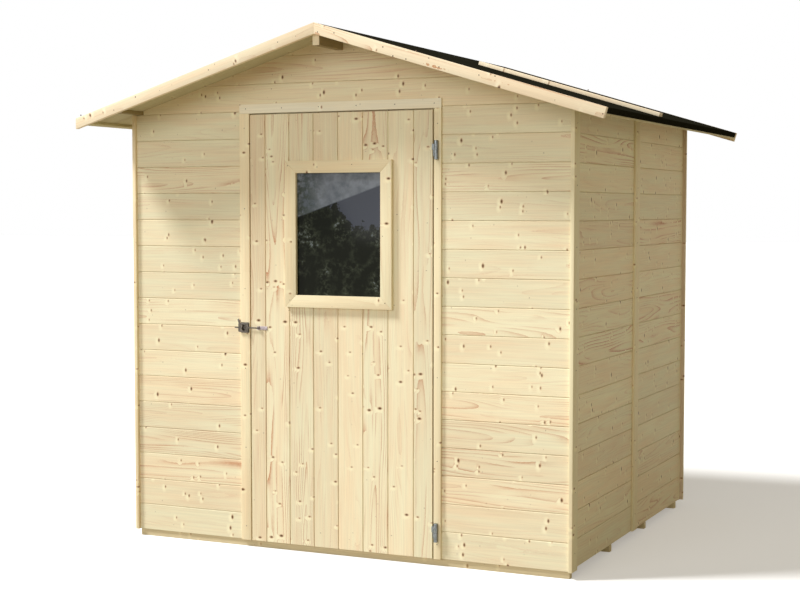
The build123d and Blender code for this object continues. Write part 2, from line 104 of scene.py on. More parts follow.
def softwood(name, early, warm, late, knot, ring=9 * MM, grain=1.0, roughness=0.62):
    """Wood cut from a log: pale early wood, warmer in places, a line of late wood every ring, and knots.
    grain is how clearly the lines show. The mesh's attribute grain says where each board lay in its log,
    and its attribute board tells the boards apart."""
    wood, tree, shader = new_material(name)
    place = add(tree, "ShaderNodeAttribute", attribute_name="grain").outputs["Vector"]
    board = add(tree, "ShaderNodeAttribute", attribute_name="board").outputs["Fac"]
    chance = add(tree, "ShaderNodeTexWhiteNoise", {"W": board}, noise_dimensions="1D").outputs["Color"]
    own = add(tree, "ShaderNodeSeparateColor", {"Color": chance}).outputs

    # Growth rings round the log's axis. They wander along the log, which draws arches and ovals on
    # flat-sawn faces
    wander_reach = 60 * MM
    long_place = add(tree, "ShaderNodeVectorMath", {0: place, 1: (0.13, 1, 1)},
                     operation="MULTIPLY").outputs[0]
    wander = add(tree, "ShaderNodeTexNoise",
                 {"Vector": long_place, "Scale": 12.0, "Detail": 0.6}).outputs["Color"]
    centred = add(tree, "ShaderNodeVectorMath", {0: wander, 1: (0.5, 0.5, 0.5)},
                  operation="SUBTRACT").outputs[0]
    moved = add(tree, "ShaderNodeVectorMath", {0: centred, 1: (0, wander_reach, wander_reach), 2: place},
                operation="MULTIPLY_ADD").outputs[0]

    # Knots, large and small: each cell of the board has one, or none where its radius comes out well
    # below 0. The rings swell round a knot of at least the haloed size, and the wood to one side of it
    # is pale
    least_haloed = 0.8 * MM
    pale_side = (9 * MM, 4 * MM, 0)
    core, rim, pale_share = None, None, None
    for length, width, smallest, largest in ((180 * MM, 70 * MM, -6.5 * MM, 5.5 * MM),
                                             (95 * MM, 42 * MM, -8 * MM, 2.6 * MM)):
        in_cells = add(tree, "ShaderNodeVectorMath", {0: place, 1: (1 / length, 1 / width, 0)},
                       operation="MULTIPLY").outputs[0]
        cells = add(tree, "ShaderNodeTexVoronoi", {"Vector": in_cells, "Scale": 1.0},
                    voronoi_dimensions="2D").outputs
        off = add(tree, "ShaderNodeVectorMath", {0: in_cells, 1: cells["Position"]},
                  operation="SUBTRACT").outputs[0]
        # A distance counts for more along the grain than across it, so knots are longer across
        metres = add(tree, "ShaderNodeVectorMath", {0: off, 1: (length * 1.25, width * 0.75, 0)},
                     operation="MULTIPLY").outputs[0]
        aside = add(tree, "ShaderNodeVectorMath", {0: metres, 1: pale_side}, operation="ADD").outputs[0]
        size = add(tree, "ShaderNodeSeparateColor", {"Color": cells["Color"]}).outputs["Red"]
        radius = add(tree, "ShaderNodeMapRange",
                     {"Value": size, "To Min": smallest, "To Max": largest}).outputs[0]
        distances = [add(tree, "ShaderNodeVectorMath", {0: spot}, operation="LENGTH").outputs["Value"]
                     for spot in (metres, aside)]
        away, beside = [add(tree, "ShaderNodeMath", {0: distance, 1: radius},
                            operation="SUBTRACT").outputs[0] for distance in distances]
        dark = add(tree, "ShaderNodeMapRange",
                   {"Value": away, "From Min": 2.6 * MM, "From Max": -2.2 * MM}).outputs[0]
        near = add(tree, "ShaderNodeMapRange",
                   {"Value": beside, "From Min": 15 * MM, "From Max": 1 * MM}).outputs[0]
        close = add(tree, "ShaderNodeMapRange",
                    {"Value": away, "From Min": 6 * MM, "From Max": 0.5 * MM}).outputs[0]
        there = add(tree, "ShaderNodeMath", {0: radius, 1: least_haloed},
                    operation="GREATER_THAN").outputs[0]
        light, tinged = [add(tree, "ShaderNodeMath", {0: share, 1: there},
                             operation="MULTIPLY").outputs[0] for share in (near, close)]
        core, rim, pale_share = [new if old is None else
                                 add(tree, "ShaderNodeMath", {0: old, 1: new},
                                     operation="MAXIMUM").outputs[0]
                                 for old, new in ((core, dark), (rim, tinged), (pale_share, light))]
    swerve = add(tree, "ShaderNodeMath", {0: pale_share, 1: 5.0}, operation="MULTIPLY").outputs[0]
    rings = add(tree, "ShaderNodeTexWave",
                {"Vector": moved, "Scale": wave_ring / ring, "Distortion": 0.4, "Detail": 1.0,
                 "Detail Scale": 2.0, "Phase Offset": swerve},
                wave_type="RINGS", rings_direction="X", wave_profile="SAW").outputs["Fac"]
    latewood = add(tree, "ShaderNodeMath", {0: rings, 1: 4.5}, operation="POWER").outputs[0]

    # Streaks along the grain, and slow changes of tone along a board
    streak_place = add(tree, "ShaderNodeVectorMath", {0: place, 1: (4, 190, 190)},
                       operation="MULTIPLY").outputs[0]
    streaks = add(tree, "ShaderNodeTexNoise",
                  {"Vector": streak_place, "Scale": 1.0, "Detail": 4.0}).outputs["Fac"]
    tone_place = add(tree, "ShaderNodeVectorMath", {0: place, 1: (3, 26, 26)},
                     operation="MULTIPLY").outputs[0]
    tone = add(tree, "ShaderNodeTexNoise",
               {"Vector": tone_place, "Scale": 1.0, "Detail": 3.0}).outputs["Color"]
    tint = add(tree, "ShaderNodeSeparateColor", {"Color": tone}).outputs

    # Ring lines show on about half of the boards, and there in patches
    shown = add(tree, "ShaderNodeMapRange",
                {"Value": own["Red"], "From Min": 0.45, "From Max": 1.0,
                 "To Min": 0.10 * grain, "To Max": 1.2 * grain}).outputs[0]
    patchy = add(tree, "ShaderNodeMapRange",
                 {"Value": tint["Red"], "From Min": 0.4, "From Max": 0.58}).outputs[0]
    strong = add(tree, "ShaderNodeMath", {0: shown, 1: patchy}, operation="MULTIPLY").outputs[0]
    ring_share = add(tree, "ShaderNodeMath", {0: latewood, 1: strong},
                     operation="MULTIPLY", use_clamp=True).outputs[0]
    own_warmth = add(tree, "ShaderNodeMapRange", {"Value": own["Green"], "To Max": 0.45}).outputs[0]
    warm_share = add(tree, "ShaderNodeMath", {0: tint["Green"], 1: 1.6, 2: own_warmth},
                     operation="MULTIPLY_ADD").outputs[0]
    warmth = add(tree, "ShaderNodeMapRange",
                 {"Value": warm_share, "From Min": 0.68, "From Max": 1.35}).outputs[0]

    # The colour, from the plain wood up to the knots. A halo is paler than the early wood, and a knot's
    # rim is orange brown
    halo_gain, halo_strength, rim_strength = 1.12, 0.66, 0.45
    ground = add(tree, "ShaderNodeMix", {0: warmth, 6: srgb(early), 7: srgb(warm)},
                 data_type="RGBA").outputs[2]
    ringed = add(tree, "ShaderNodeMix", {0: ring_share, 6: ground, 7: srgb(late)},
                 data_type="RGBA").outputs[2]
    streak_tone = add(tree, "ShaderNodeMapRange",
                      {"Value": streaks, "From Min": 0.3, "From Max": 0.7,
                       "To Min": 0.94, "To Max": 1.035}).outputs[0]
    board_tone = add(tree, "ShaderNodeMapRange",
                     {"Value": own["Blue"], "To Min": 0.92, "To Max": 1.045}).outputs[0]
    value = add(tree, "ShaderNodeMath", {0: streak_tone, 1: board_tone}, operation="MULTIPLY").outputs[0]
    toned = add(tree, "ShaderNodeVectorMath", {0: ringed, "Scale": value}, operation="SCALE").outputs[0]
    halo = add(tree, "ShaderNodeMath", {0: pale_share, 1: halo_strength}, operation="MULTIPLY").outputs[0]
    clear = [share * halo_gain for share in srgb(early)[:3]] + [1.0]
    pale = add(tree, "ShaderNodeMix", {0: halo, 6: toned, 7: clear}, data_type="RGBA").outputs[2]
    rim_share = add(tree, "ShaderNodeMath", {0: rim, 1: rim_strength}, operation="MULTIPLY").outputs[0]
    rimmed = add(tree, "ShaderNodeMix", {0: rim_share, 6: pale, 7: srgb("#C98F58")},
                 data_type="RGBA").outputs[2]
    knotted = add(tree, "ShaderNodeMix", {0: core, 6: rimmed, 7: srgb(knot)},
                  data_type="RGBA").outputs[2]
    tree.links.new(knotted, shader.inputs["Base Color"])
    shader.inputs["Roughness"].default_value = roughness
    shader.inputs["Specular IOR Level"].default_value = 0.3
    bump = add(tree, "ShaderNodeBump",
               {"Strength": 0.25, "Distance": 0.4 * MM, "Height": streaks}).outputs[0]
    tree.links.new(bump, shader.inputs["Normal"])
    return wood


def smooth(mesh):
    """Rounded edges shade smoothly, and sharp ones stay sharp."""
    mesh.polygons.foreach_set("use_smooth", [True] * len(mesh.polygons))
    mesh.set_sharp_from_angle(angle=math.radians(32))


def rounded(node, name, material, arris=1.5 * MM, segments=2):
    """A piece with the shape of a CAD node, its flat faces made whole and its arrises rounded."""
    work = bmesh.new()
    work.from_mesh(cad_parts[node].data)
    bmesh.ops.remove_doubles(work, verts=work.verts, dist=weld)
    bmesh.ops.dissolve_limit(work, angle_limit=math.radians(1), verts=work.verts, edges=work.edges)
    arrises = [e for e in work.edges if e.is_manifold and e.calc_face_angle() > math.radians(30)]
    bmesh.ops.bevel(work, geom=arrises, offset=arris, segments=segments, affect="EDGES", profile=0.6,
                    clamp_overlap=True)
    mesh = bpy.data.meshes.new(name)
    work.to_mesh(mesh)
    work.free()
    smooth(mesh)
    mesh.materials.clear()
    mesh.materials.append(material)
    return placed(name, mesh)


def lay_grain(piece, along, across, pitch=None, start=0.0):
    """Gives each board its own place in a log: how far along the grain, and where from the log's axis.
    The boards are the mesh's separate parts, or strips of one pitch across the mesh, counted from start."""
    mesh = piece.data
    along, across = Vector(along).normalized(), Vector(across).normalized()
    axes = np.array([along, across, along.cross(across)])
    spots = np.array([v.co for v in mesh.vertices]) @ axes.T
    if pitch:
        which = [math.floor((Vector(f.center).dot(across) - start) / pitch) for f in mesh.polygons]
    else:
        part = list(range(len(mesh.vertices)))

        def root(i):
            while part[i] != i:
                part[i] = part[part[i]]
                i = part[i]
            return i
        for edge in mesh.edges:
            part[root(edge.vertices[0])] = root(edge.vertices[1])
        which = [root(f.vertices[0]) for f in mesh.polygons]
    grain = np.zeros((len(mesh.loops), 3), np.float32)
    number = np.zeros(len(mesh.loops), np.float32)
    members = {}
    for face, board in zip(mesh.polygons, which):
        members.setdefault(board, []).extend(face.loop_indices)
    for order, (board, loops) in enumerate(sorted(members.items())):
        luck = random.Random(f"{piece.name} {order}")
        here = spots[[mesh.loops[i].vertex_index for i in loops]]
        centre = (here.min(0) + here.max(0)) / 2
        if pitch:
            centre[1] = start + (board + 0.5) * pitch
        # A log so long that no two boards meet in it, and cut 24 to 85 mm out from its axis
        log = (luck.uniform(0, 60), luck.uniform(-34, 34) * MM,
               luck.uniform(24, 85) * MM * luck.choice((-1, 1)))
        here = here - centre + log
        here[:, 0] += centre[0]
        grain[loops] = here
        number[loops] = luck.uniform(0, 100)
    mesh.attributes.new("grain", "FLOAT_VECTOR", "CORNER").data.foreach_set("vector", grain.ravel())
    mesh.attributes.new("board", "FLOAT", "CORNER").data.foreach_set("value", number)


def cut(node, name, along, across, wood, arris=1.5 * MM):
    """A piece of wood with the shape of a CAD node, whose grain runs along."""
    piece = rounded(node, name, wood, arris)
    lay_grain(piece, along, across)
    return piece


def fit(piece, body, slot, *nodes):
    """The piece rides on its body and stands for its CAD nodes, which it hides. slot is not used."""
    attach(piece, body)
    if nodes:
        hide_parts(*nodes)


# Pressure-treated pine: the salt leaves an olive cast, and the sawn faces are dull
treated_pine = softwood("treated_pine_sawn", "#EBDDB8", "#E2D2AC", "#C6B488", "#9A8454", roughness=0.8)
bearers = cut("floor_bearers", "bearers", right, up, treated_pine)
fit(bearers, "shed", "bearer_wood", "floor_bearers")


# Floor deck and the boards of the walls
# Tongue-and-groove spruce boards, 112.5 mm from joint to joint. The deck is laid front to back on
# the bearers. The walls are seven panels of level boards, nailed to posts behind them.

left, front, rear = (-1, 0, 0), (0, -1, 0), (0, 1, 0)
board_pitch = 112.5 * MM
joint_gap = 1.3 * MM          # open at the face, between two boards
joint_depth = 5 * MM          # down to the tongue
board_chamfer = 1.9 * MM
skin = 0.1 * MM               # a board's faces lie this far inside its panel's, clear of the saw
side_gap = 0.05 * MM          # clear at each side of a board, from its back up to the tongue
overrun = 20 * MM             # a board is longer than its panel by this at each end, before the saw
count_slack = 1e-4            # of a board: a panel that ends on a joint has no sliver more
wall_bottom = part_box("left_wall_front")[0].z


def boards_tree():
    """Geometry nodes that lay boards side by side and cut them to a panel's outline."""
    tree = bpy.data.node_groups.new("boards_cut_to_panel", "GeometryNodeTree")
    for name, kind in (("Board", "Object"), ("Panel", "Object"), ("Count", "Int"),
                       ("First Place", "Vector"), ("Step", "Vector"), ("Wood", "Material")):
        tree.interface.new_socket(name, in_out="INPUT", socket_type="NodeSocket" + kind)
    tree.interface.new_socket("Boards", in_out="OUTPUT", socket_type="NodeSocketGeometry")
    given = add(tree, "NodeGroupInput").outputs
    board = add(tree, "GeometryNodeObjectInfo", {"Object": given["Board"]}).outputs["Geometry"]
    panel = add(tree, "GeometryNodeObjectInfo", {"Object": given["Panel"]}).outputs["Geometry"]
    whole = add(tree, "GeometryNodeMergeByDistance", {"Geometry": panel, "Distance": weld}).outputs[0]
    line = add(tree, "GeometryNodeMeshLine",
               {"Count": given["Count"], "Start Location": given["First Place"],
                "Offset": given["Step"]}).outputs["Mesh"]
    laid = add(tree, "GeometryNodeInstanceOnPoints", {"Points": line, "Instance": board}).outputs[0]
    loose = add(tree, "GeometryNodeRealizeInstances", {"Geometry": laid}).outputs["Geometry"]
    saw = add(tree, "GeometryNodeMeshBoolean", {"Mesh 2": loose}, operation="INTERSECT", solver="EXACT")
    tree.links.new(whole, saw.inputs["Mesh 2"])
    real = add(tree, "GeometryNodeRealizeInstances", {"Geometry": saw.outputs["Mesh"]}).outputs[0]
    done = add(tree, "GeometryNodeSetMaterial", {"Geometry": real, "Material": given["Wood"]}).outputs[0]
    add(tree, "NodeGroupOutput", {"Boards": done})
    return tree


def run_tree(tree, name, **inputs):
    """The mesh that a Geometry Nodes tree makes from its named inputs, as a new object."""
    maker = placed(name, bpy.data.meshes.new(name + "_start"))
    nodes = maker.modifiers.new("make", "NODES")
    nodes.node_group = tree
    sockets = {s.name: s.identifier for s in tree.interface.items_tree if s.in_out == "INPUT"}
    for key, value in inputs.items():
        nodes[sockets[key.replace("_", " ")]] = value
    scene_now = bpy.context.evaluated_depsgraph_get()
    mesh = bpy.data.meshes.new_from_object(maker.evaluated_get(scene_now), depsgraph=scene_now)
    maker.modifiers.remove(nodes)
    maker.data = mesh
    return maker


def joined(pieces, name):
    """Several objects made into one."""
    if len(pieces) > 1:
        with bpy.context.temp_override(active_object=pieces[0], selected_editable_objects=pieces):
            bpy.ops.object.join()
    pieces[0].name = name
    return pieces[0]


def boarded(nodes, name, along, across, face, material, start, gap=joint_gap):
    """CAD panels made of boards that run on from one panel to the next. along is the way they run,
    across the way they are laid, and face the side that shows their joints. start is where one begins."""
    along, across, face = Vector(along), Vector(across), Vector(face)
    spots = [v.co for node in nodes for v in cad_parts[node].data.vertices]
    runs = [s.dot(along) for s in spots]
    rows = [s.dot(across) for s in spots]
    front_skin = max(s.dot(face) for s in spots) - skin
    back_skin = min(s.dot(face) for s in spots) + skin
    tongue, chamfered = front_skin - joint_depth, front_skin - board_chamfer
    first = start + math.floor((min(rows) - start) / board_pitch + count_slack) * board_pitch
    count = math.ceil((max(rows) - first) / board_pitch - count_slack)
    half_gap = gap / 2
    profile = [(side_gap, back_skin), (board_pitch - side_gap, back_skin),
               (board_pitch - side_gap, tongue), (board_pitch - half_gap, tongue),
               (board_pitch - half_gap, chamfered), (board_pitch - half_gap - board_chamfer, front_skin),
               (half_gap + board_chamfer, front_skin), (half_gap, chamfered),
               (half_gap, tongue), (side_gap, tongue)]
    work = bmesh.new()
    ends = [[work.verts.new(along * run + across * v + face * w) for v, w in profile]
            for run in (min(runs) - overrun, max(runs) + overrun)]
    work.faces.new(ends[0])
    work.faces.new(ends[1][::-1])
    for i in range(len(profile)):
        j = (i + 1) % len(profile)
        work.faces.new([ends[0][j], ends[0][i], ends[1][i], ends[1][j]])
    bmesh.ops.recalc_face_normals(work, faces=work.faces)
    mesh = bpy.data.meshes.new("one_board")
    work.to_mesh(mesh)
    work.free()
    one_board = placed("one_board", mesh)
    piece = joined([run_tree(boards, name, Board=one_board, Panel=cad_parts[node], Count=count,
                             First_Place=across * first, Step=across * board_pitch, Wood=material)
                    for node in nodes], name)
    bpy.data.objects.remove(one_board)
    lay_grain(piece, along, across, board_pitch, start)
    return piece


boards = boards_tree()

# Planed untreated spruce: creamy, with pink-brown ring lines, streaks and small knots in pale halos.
# Its rings are drawn 7 mm apart, and those of the other cuts 7 or 9 mm. That is two to three times the
# real spacing, so that they show
planed_spruce = softwood("spruce_planed_untreated", "#F3ECCB", "#F2DFBC", "#BC7348", "#5F4024",
                         ring=7 * MM)
deck = boarded(["floor_deck"], "deck_boards", rear, right, up, planed_spruce, 0.0)
fit(deck, "shed", "deck_wood", "floor_deck")

# Each wall panel, the way its boards run and the side that shows. The front's boards run on over the door
wall_panels = [(["front_wall_left", "front_wall_right", "front_gable"], right, front)]
wall_panels += [([node], right, rear) for node in ("rear_wall_left", "rear_wall_right")]
wall_panels += [([node], rear, left) for node in ("left_wall_front", "left_wall_rear")]
wall_panels += [([node], rear, right) for node in ("right_wall_front", "right_wall_rear")]
for nodes, along, face in wall_panels:
    name = "front_wall_boards" if len(nodes) > 1 else nodes[0] + "_boards"
    panel = boarded(nodes, name, along, up, face, planed_spruce, wall_bottom)
    fit(panel, "shed", "wall_boards", *nodes)


# Posts and battens
# Planed spruce strips. Posts stand behind the boards and carry them, and the door's posts and header
# frame its opening. Thin battens cover the corners and the joints between panels.

for node in ("left_wall_posts", "right_wall_posts", "rear_wall_post", "door_posts"):
    posts = cut(node, node + "_planed", up, right, planed_spruce)
    fit(posts, "shed", "frame_wood", node)
header = cut("door_header", "door_header_planed", right, up, planed_spruce)
fit(header, "shed", "frame_wood", "door_header")

# Battens are sorted wood with fewer marks than the cladding
batten_spruce = softwood("spruce_batten_planed", "#F5EBC6", "#F2E0BA", "#C6986A", "#6A4828",
                         ring=7 * MM, grain=0.5)
# The narrow front edges of those at the rear corners are painted a dull pinkish brown: painted shade
painted_shade_edge = softwood("spruce_sawn_edge_browned", "#DECCB4", "#D6C2A8", "#A88864", "#5F4024",
                      grain=0.4, roughness=0.75)
slant = (0.6, 0.8, 0)         # battens face different ways, and grain laid across this shows on each face
for node in ("front_corner_battens", "rear_corner_battens", "joint_battens"):
    battens = cut(node, node + "_planed", up, slant, batten_spruce)
    battens.data.materials.append(painted_shade_edge)
    for face in battens.data.polygons:
        face.material_index = 1 if face.normal.y < -0.5 and node == "rear_corner_battens" else 0
    fit(battens, "shed", "batten_wood", node)


# Door trim
# Three planed spruce strips, nailed flat on the front boards round the doorway. The head runs over
# the tops of the two sides.

# The sides are painted paler than the boards behind them, and the head paler still: painted light for the
# sun that falls on them
trim_spruce_painted_light = softwood("spruce_trim_planed", "#F8EECA", "#F6E2BC", "#C6946A", "#6A4828",
                       ring=7 * MM, grain=0.5)
head_spruce_painted_light = softwood("spruce_head_trim_planed", "#FFF9E2", "#FFF3D6", "#DDB484", "#6A4828",
                       ring=7 * MM, grain=0.4)
for node, along, across, wood in (("door_trim_left", up, right, trim_spruce_painted_light),
                                  ("door_trim_right", up, right, trim_spruce_painted_light),
                                  ("door_trim_head", right, up, head_spruce_painted_light)):
    strip = cut(node, node + "_planed", along, across, wood)
    fit(strip, "shed", "trim_wood", node)


# Roof: purlins, boards, eave battens, barge boards and cover strips
# A ridge purlin and two low side purlins carry spruce boards that run from ridge to eave. Battens
# stiffen the eaves, barge boards close both gables over the felt's edge, and a strip on each slope
# covers the joint between the two rolls of felt.

roof_pitch = math.radians(16.9)
# Each slope's way down from the ridge, and the way its underside faces
slopes = {side: (Vector((way * math.cos(roof_pitch), 0, -math.sin(roof_pitch))),
                 Vector((-way * math.sin(roof_pitch), 0, -math.cos(roof_pitch))))
          for side, way in (("left", -1), ("right", 1))}

# The roof's hidden wood is left rough: olive grey boards and battens. The purlins' sides are painted dark
# brown for the deep shade under the roof, and their ends stay fresh planed spruce
rough_spruce = softwood("spruce_rough_sawn", "#CFC8A2", "#C9BC94", "#A98C60", "#5F4024", roughness=0.75)
painted_shade_spruce = softwood("spruce_rough_sawn_brown", "#9C8C62", "#93805A", "#7C6442", "#4A3A22",
                        roughness=0.8)
for node in ("ridge_purlin", "side_purlins"):
    purlins = cut(node, node + "_sawn", rear, up, planed_spruce)
    purlins.data.materials.append(painted_shade_spruce)
    for face in purlins.data.polygons:
        face.material_index = 0 if abs(face.normal.y) > 0.5 else 1
    fit(purlins, "shed", "roof_wood", node)
eave_battens = cut("eave_battens", "eave_battens_sawn", rear, up, rough_spruce)
fit(eave_battens, "shed", "verge_wood", "eave_battens")

# Barge boards catch the sun: a warmer, pinkish cut
barge_spruce = softwood("spruce_barge_planed", "#FCF2D6", "#FAE6C6", "#C98C5C", "#4E3420", grain=1.1)
for side, (down, under) in slopes.items():
    node = "roof_boards_" + side
    roof_deck = boarded([node], node + "_boards", down, rear, under, rough_spruce, 0.0)
    fit(roof_deck, "shed", "roof_wood", node)
    for node, across in (("front_barge_" + side, under), ("rear_barge_" + side, under),
                         ("cover_strip_" + side, rear)):
        board = cut(node, node + "_planed", down, across, barge_spruce)
        fit(board, "shed", "verge_wood", node)


# Roofing felt
# Two rolls of bitumen felt with a fine mineral grit, laid from eave to eave, turned over the edge of
# the boards and nailed there.

felt, tree, shader = new_material("bitumen_felt_gritted")
where = add(tree, "ShaderNodeTexCoord").outputs["Object"]
# Grit of about 1 mm is drawn 4 mm wide, so that it shows
drawn_grit = 4 * MM
grit = add(tree, "ShaderNodeTexNoise",
           {"Vector": where, "Scale": 1 / drawn_grit, "Detail": 2.0}).outputs["Fac"]
stain = add(tree, "ShaderNodeTexNoise", {"Vector": where, "Scale": 3.0, "Detail": 3.0}).outputs["Fac"]
grit_share = add(tree, "ShaderNodeMapRange",
                 {"Value": grit, "From Min": 0.4, "From Max": 0.7}).outputs[0]
dark = add(tree, "ShaderNodeMix", {0: stain, 6: srgb("#16160F"), 7: srgb("#201F17")},
           data_type="RGBA").outputs[2]
gritted = add(tree, "ShaderNodeMix", {0: grit_share, 6: dark, 7: srgb("#302F26")},
              data_type="RGBA").outputs[2]
tree.links.new(gritted, shader.inputs["Base Color"])
shader.inputs["Roughness"].default_value = 0.93
shader.inputs["Specular IOR Level"].default_value = 0.0
rough = add(tree, "ShaderNodeBump", {"Strength": 0.6, "Distance": 1 * MM, "Height": grit}).outputs[0]
tree.links.new(rough, shader.inputs["Normal"])
for node in ("roof_felt_front", "roof_felt_rear"):
    roll = rounded(node, node + "_sheet", felt, arris=1 * MM)
    fit(roll, "shed", "roof_felt", node)


# Door leaf and ledges
# Eight upright tongue-and-groove boards, held by three ledges nailed across their back. The boards at
# both sides are cut down to the leaf's width.

leaf_start = -456 * MM
leaf_joint_gap = 2.2 * MM     # the leaf's boards have dried apart a little more than the walls'
leaf = boarded(["door_leaf"], "door_leaf_boards", up, right, front, planed_spruce, leaf_start,
               gap=leaf_joint_gap)
fit(leaf, "door", "door_wood", "door_leaf")
ledges = cut("door_ledges", "door_ledges_planed", right, up, planed_spruce, arris=2 * MM)
fit(ledges, "door", "door_wood", "door_ledges")


# Window frame, bead and glass
# Four mitred spruce strips hold a fixed sheet of clear glass against a thin bead inside. The glass's colour
# is a painted reflection of a dull sky and trees, over painted dark for the unlit shed behind it.

def mitred(node, name, member, arris, material):
    """A frame of four strips round a node's box, mitred at the corners, each with its own grain."""
    low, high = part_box(node)
    outer = [(low.x, low.z), (high.x, low.z), (high.x, high.z), (low.x, high.z)]
    inner = [(low.x + member, low.z + member), (high.x - member, low.z + member),
             (high.x - member, high.z - member), (low.x + member, high.z - member)]
    strips = []
    for i in range(4):
        j = (i + 1) % 4
        work = bmesh.new()
        rings = [[work.verts.new((x, y, z)) for x, z in (outer[i], outer[j], inner[j], inner[i])]
                 for y in (low.y, high.y)]
        work.faces.new(rings[0])
        work.faces.new(rings[1][::-1])
        for a in range(4):
            b = (a + 1) % 4
            work.faces.new([rings[0][b], rings[0][a], rings[1][a], rings[1][b]])
        bmesh.ops.recalc_face_normals(work, faces=work.faces)
        bmesh.ops.bevel(work, geom=work.edges[:], offset=arris, segments=2, affect="EDGES", profile=0.6)
        mesh = bpy.data.meshes.new("strip")
        work.to_mesh(mesh)
        work.free()
        smooth(mesh)
        mesh.materials.append(material)
        strip = placed(f"{name}_{i}", mesh)
        along = (outer[j][0] - outer[i][0], 0, outer[j][1] - outer[i][1])
        lay_grain(strip, along, up if along[0] else right)
        strips.append(strip)
    return joined(strips, name)


frame_member, bead_member = 50 * MM, 15 * MM
window_spruce = softwood("spruce_window_planed", "#F3E9C6", "#F2DFB8", "#C07E4C", "#5E4022")
window = mitred("window_frame", "window_frame_mitred", frame_member, 1.5 * MM, window_spruce)
fit(window, "door", "window_wood", "window_frame")
bead = mitred("window_bead", "window_bead_mitred", bead_member, 1 * MM, window_spruce)
fit(bead, "door", "window_wood", "window_bead")

# Clear glass over an unlit room, its colour a painted reflection: a slate sky above, and dark leaves below
# it
glass, tree, shader = new_material("window_glass_clear")
where = add(tree, "ShaderNodeTexCoord").outputs["Object"]
spot = add(tree, "ShaderNodeSeparateXYZ", {"Vector": where}).outputs
cloud = add(tree, "ShaderNodeTexNoise",
            {"Vector": where, "Scale": 14.0, "Detail": 4.0, "Roughness": 0.6}).outputs["Fac"]
leaves = add(tree, "ShaderNodeTexNoise",
             {"Vector": where, "Scale": 46.0, "Detail": 5.0, "Roughness": 0.7}).outputs["Fac"]
clumps = add(tree, "ShaderNodeTexNoise", {"Vector": where, "Scale": 9.0, "Detail": 2.0}).outputs["Fac"]

# A gable's edge crosses the painted reflection and rises to the right by a third. It is soft over 6 mm
edge_rise, edge_height, edge_blur = 0.343, 1.456, 3 * MM
edge = add(tree, "ShaderNodeMath", {0: spot["X"], 1: -edge_rise, 2: spot["Z"]},
           operation="MULTIPLY_ADD").outputs[0]
above = add(tree, "ShaderNodeMapRange",
            {"Value": edge, "From Min": edge_height - edge_blur,
             "From Max": edge_height + edge_blur}).outputs[0]
below = add(tree, "ShaderNodeMath", {0: 1.0, 1: above}, operation="SUBTRACT").outputs[0]
cloud_share = add(tree, "ShaderNodeMapRange",
                  {"Value": cloud, "From Min": 0.38, "From Max": 0.62}).outputs[0]
sky = add(tree, "ShaderNodeMix", {0: cloud_share, 6: srgb("#59616B"), 7: srgb("#7A818C")},
          data_type="RGBA").outputs[2]

# Painted hanging leaves darken the reflected sky's left side
leftward = add(tree, "ShaderNodeMapRange",
               {"Value": spot["X"], "From Min": -0.05, "From Max": -0.19}).outputs[0]
leafy = add(tree, "ShaderNodeMapRange",
            {"Value": leaves, "From Min": 0.42, "From Max": 0.55}).outputs[0]
hanging = add(tree, "ShaderNodeMath", {0: leftward, 1: leafy}, operation="MULTIPLY").outputs[0]
dimmed = add(tree, "ShaderNodeMix", {0: hanging, 6: sky, 7: srgb("#3C443C")},
             data_type="RGBA").outputs[2]
upper = add(tree, "ShaderNodeMix", {0: above, 6: srgb("#3E434F"), 7: dimmed},
            data_type="RGBA").outputs[2]

# The reflected trees stand highest on the left, and their top is ragged
left_tree_top, right_tree_top, leaf_reach = 1.46, 1.352, 0.24
tree_top = add(tree, "ShaderNodeMapRange",
               {"Value": spot["X"], "From Min": -0.02, "From Max": 0.06,
                "To Min": left_tree_top, "To Max": right_tree_top}).outputs[0]
over_trees = add(tree, "ShaderNodeMath", {0: spot["Z"], 1: tree_top}, operation="SUBTRACT").outputs[0]
ragged = add(tree, "ShaderNodeMath", {0: leaves, 1: leaf_reach, 2: over_trees},
             operation="MULTIPLY_ADD").outputs[0]
tree_line = add(tree, "ShaderNodeMapRange",
                {"Value": ragged, "From Min": 0.126, "From Max": 0.114}).outputs[0]
trees = add(tree, "ShaderNodeMath", {0: tree_line, 1: below}, operation="MULTIPLY").outputs[0]
leaf_share = add(tree, "ShaderNodeMapRange",
                 {"Value": leaves, "From Min": 0.46, "From Max": 0.68}).outputs[0]
clump_share = add(tree, "ShaderNodeMapRange",
                  {"Value": clumps, "From Min": 0.4, "From Max": 0.62}).outputs[0]
speck = add(tree, "ShaderNodeMath", {0: leaf_share, 1: clump_share}, operation="MULTIPLY").outputs[0]
# Painted glints of bright sky among the leaves
painted_glint = add(tree, "ShaderNodeMapRange", {"Value": speck, "From Min": 0.4, "From Max": 0.9}).outputs[0]
dark_leaves = add(tree, "ShaderNodeMix", {0: speck, 6: srgb("#14170E"), 7: srgb("#4E5545")},
                  data_type="RGBA").outputs[2]
lower = add(tree, "ShaderNodeMix", {0: painted_glint, 6: dark_leaves, 7: srgb("#6E767C")},
            data_type="RGBA").outputs[2]
# The whole painted reflection: sky above the gable's edge, trees below it
view = add(tree, "ShaderNodeMix", {0: trees, 6: upper, 7: lower}, data_type="RGBA").outputs[2]
tree.links.new(view, shader.inputs["Base Color"])
shader.inputs["Roughness"].default_value = 0.05
shader.inputs["Specular IOR Level"].default_value = 0.1
pane = rounded("window_glass", "window_pane", glass, arris=0.4 * MM, segments=1)
fit(pane, "door", "window_glass", "window_glass")


# Hinges and hasp
# Zinc-plated steel, pressed and rolled: two lift-off hinges on the right, and on the left a hasp
# whose strap closes over a staple on the trim.

spangle_size = 5 * MM         # of one crystal of the zinc


